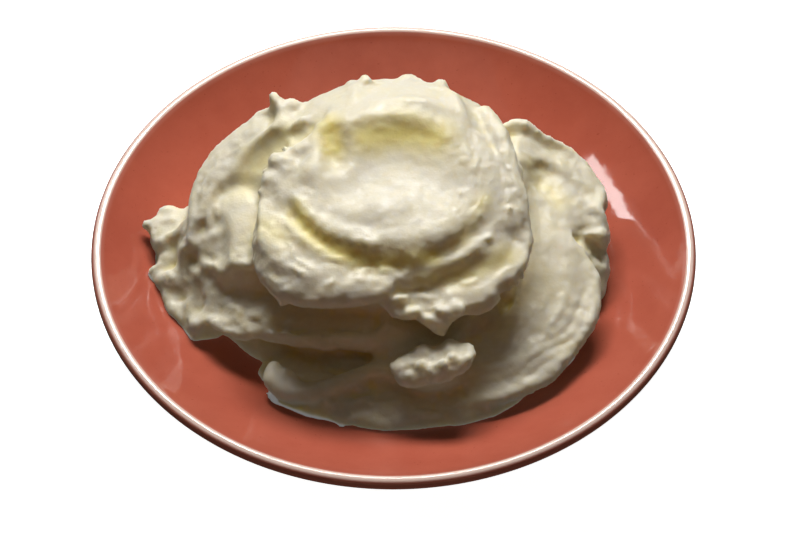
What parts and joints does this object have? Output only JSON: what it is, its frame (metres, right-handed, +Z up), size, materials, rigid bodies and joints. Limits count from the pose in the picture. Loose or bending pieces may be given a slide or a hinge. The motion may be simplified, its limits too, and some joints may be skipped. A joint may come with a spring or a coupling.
{
  "type": "mashed potato side",
  "caption": "Tall swirled mound of creamy mashed potato with torn folds and spoon marks, in a shallow round coral-glazed coupe bowl.",
  "frame": {"origin": "middle of the bowl's foot, on the table", "axes": "+Z up, +X to the right and +Y to the back as the dish is served, with the torn ledge of mash facing -Y"},
  "size_m": [0.1802, 0.1802, 0.065],
  "materials": {
    "glaze": "gloss",
    "potato": "satin"
  },
  "bodies": {
    "root": {"bowl": "glaze", "mash": "potato"}
  },
  "joints": []
}
